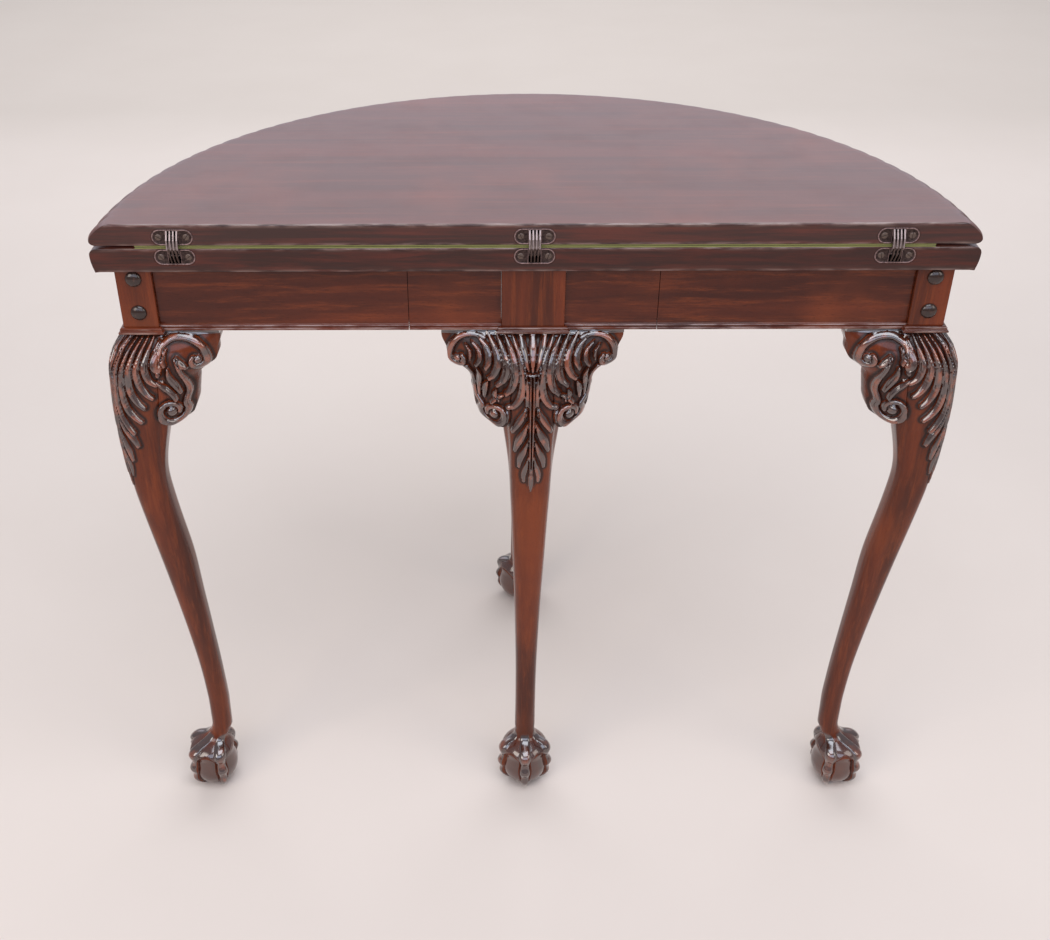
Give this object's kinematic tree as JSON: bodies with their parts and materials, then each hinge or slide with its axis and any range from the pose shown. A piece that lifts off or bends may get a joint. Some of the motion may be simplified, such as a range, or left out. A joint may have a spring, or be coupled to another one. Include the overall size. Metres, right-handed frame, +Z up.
{
  "type": "fold-over card table",
  "caption": "Half-round fold-over card table on cabriole legs with claw-and-ball feet; the top folds open on concealed hinges and a middle leg pulls out to carry it",
  "frame": {"origin": "under the middle of the closed table's bounding box, on the floor", "axes": "+X along the straight hinged edge, +Y from that edge towards the bowed front, +Z up"},
  "size_m": [0.8422, 0.4376, 0.749],
  "materials": {
    "top_mahogany": "French-polished mahogany, reddish brown, straight figure along the long side, glossy",
    "frame_mahogany": "dark French-polished mahogany with a golden-brown figure",
    "carved_mahogany": "polished mahogany, dark in the carving's recesses and lighter on its high places",
    "bearer_wood": "unpolished straight-grained secondary wood",
    "baize": "olive-green napped wool baize",
    "hinge_bronze": "dark patinated bronze with rubbed pale edges",
    "link_steel": "bare satin steel links with dark joints",
    "screw_metal": "dulled countersunk slotted screws",
    "bolt_metal": "blackened domed bolt heads, half gloss"
  },
  "bodies": {
    "root": {"back_rail_left": "frame_mahogany", "back_rail_right": "frame_mahogany", "corner_leg_left": "carved_mahogany", "corner_leg_right": "carved_mahogany", "ear_front_left": "carved_mahogany", "ear_front_right": "carved_mahogany", "ear_left_back": "carved_mahogany", "ear_left_side": "carved_mahogany", "ear_right_back": "carved_mahogany", "ear_right_side": "carved_mahogany", "frieze_rail_left": "frame_mahogany", "frieze_rail_right": "frame_mahogany", "front_leg": "carved_mahogany", "hinge_lower_plate_centre": "hinge_bronze", "hinge_lower_plate_left": "hinge_bronze", "hinge_lower_plate_right": "hinge_bronze", "hinge_lower_screw_centre_a": "screw_metal", "hinge_lower_screw_centre_b": "screw_metal", "hinge_lower_screw_left_a": "screw_metal", "hinge_lower_screw_left_b": "screw_metal", "hinge_lower_screw_right_a": "screw_metal", "hinge_lower_screw_right_b": "screw_metal", "leg_bolt_left_lower": "bolt_metal", "leg_bolt_left_upper": "bolt_metal", "leg_bolt_right_lower": "bolt_metal", "leg_bolt_right_upper": "bolt_metal", "lower_baize": "baize", "lower_leaf": "top_mahogany", "runner_guide_left": "bearer_wood", "runner_guide_right": "bearer_wood", "stile_cap_front": "frame_mahogany", "stile_cap_left": "frame_mahogany", "stile_cap_right": "frame_mahogany", "stop_bar": "bearer_wood"},
    "folding_leaf": {"hinge_upper_plate_centre": "hinge_bronze", "hinge_upper_plate_left": "hinge_bronze", "hinge_upper_plate_right": "hinge_bronze", "hinge_upper_screw_centre_a": "screw_metal", "hinge_upper_screw_centre_b": "screw_metal", "hinge_upper_screw_left_a": "screw_metal", "hinge_upper_screw_left_b": "screw_metal", "hinge_upper_screw_right_a": "screw_metal", "hinge_upper_screw_right_b": "screw_metal", "upper_baize": "baize", "upper_leaf": "top_mahogany"},
    "pull_out_leg": {"centre_leg": "carved_mahogany", "cross_rail": "bearer_wood", "ear_centre_left": "carved_mahogany", "ear_centre_right": "carved_mahogany", "gate_rail_left": "frame_mahogany", "gate_rail_right": "frame_mahogany", "runner_left": "bearer_wood", "runner_right": "bearer_wood", "stile_cap_centre": "frame_mahogany"},
    "lower_links_left": {"hinge_lower_links_left": "link_steel"},
    "upper_links_left": {"hinge_upper_links_left": "link_steel"},
    "lower_links_centre": {"hinge_lower_links_centre": "link_steel"},
    "upper_links_centre": {"hinge_upper_links_centre": "link_steel"},
    "lower_links_right": {"hinge_lower_links_right": "link_steel"},
    "upper_links_right": {"hinge_upper_links_right": "link_steel"}
  },
  "joints": [
    {"name": "leaf_fold", "type": "hinge", "parent": "root", "child": "folding_leaf", "pos_m": [0, -0.2026, 0.727], "axis": [1, 0, 0], "range_deg": [0, 180]},
    {"name": "leg_pull", "type": "slide", "parent": "root", "child": "pull_out_leg", "axis": [0, -1, 0], "range_m": [0, 0.24]},
    {"name": "lower_links_left_pivot", "type": "hinge", "parent": "root", "child": "lower_links_left", "pos_m": [-0.337, -0.1985, 0.7175], "axis": [1, 0, 0], "range_deg": [0, 76]},
    {"name": "upper_links_left_pivot", "type": "hinge", "parent": "folding_leaf", "child": "upper_links_left", "pos_m": [-0.337, -0.1985, 0.7365], "axis": [1, 0, 0], "range_deg": [-76, 0]},
    {"name": "lower_links_centre_pivot", "type": "hinge", "parent": "root", "child": "lower_links_centre", "pos_m": [0, -0.1985, 0.7175], "axis": [1, 0, 0], "range_deg": [0, 76]},
    {"name": "upper_links_centre_pivot", "type": "hinge", "parent": "folding_leaf", "child": "upper_links_centre", "pos_m": [0, -0.1985, 0.7365], "axis": [1, 0, 0], "range_deg": [-76, 0]},
    {"name": "lower_links_right_pivot", "type": "hinge", "parent": "root", "child": "lower_links_right", "pos_m": [0.337, -0.1985, 0.7175], "axis": [1, 0, 0], "range_deg": [0, 76]},
    {"name": "upper_links_right_pivot", "type": "hinge", "parent": "folding_leaf", "child": "upper_links_right", "pos_m": [0.337, -0.1985, 0.7365], "axis": [1, 0, 0], "range_deg": [-76, 0]}
  ],
  "couplings": [
    {"joint": "lower_links_left_pivot", "follows": "leaf_fold", "ratio": 0.42},
    {"joint": "upper_links_left_pivot", "follows": "leaf_fold", "ratio": -0.42},
    {"joint": "lower_links_centre_pivot", "follows": "leaf_fold", "ratio": 0.42},
    {"joint": "upper_links_centre_pivot", "follows": "leaf_fold", "ratio": -0.42},
    {"joint": "lower_links_right_pivot", "follows": "leaf_fold", "ratio": 0.42},
    {"joint": "upper_links_right_pivot", "follows": "leaf_fold", "ratio": -0.42}
  ]
}
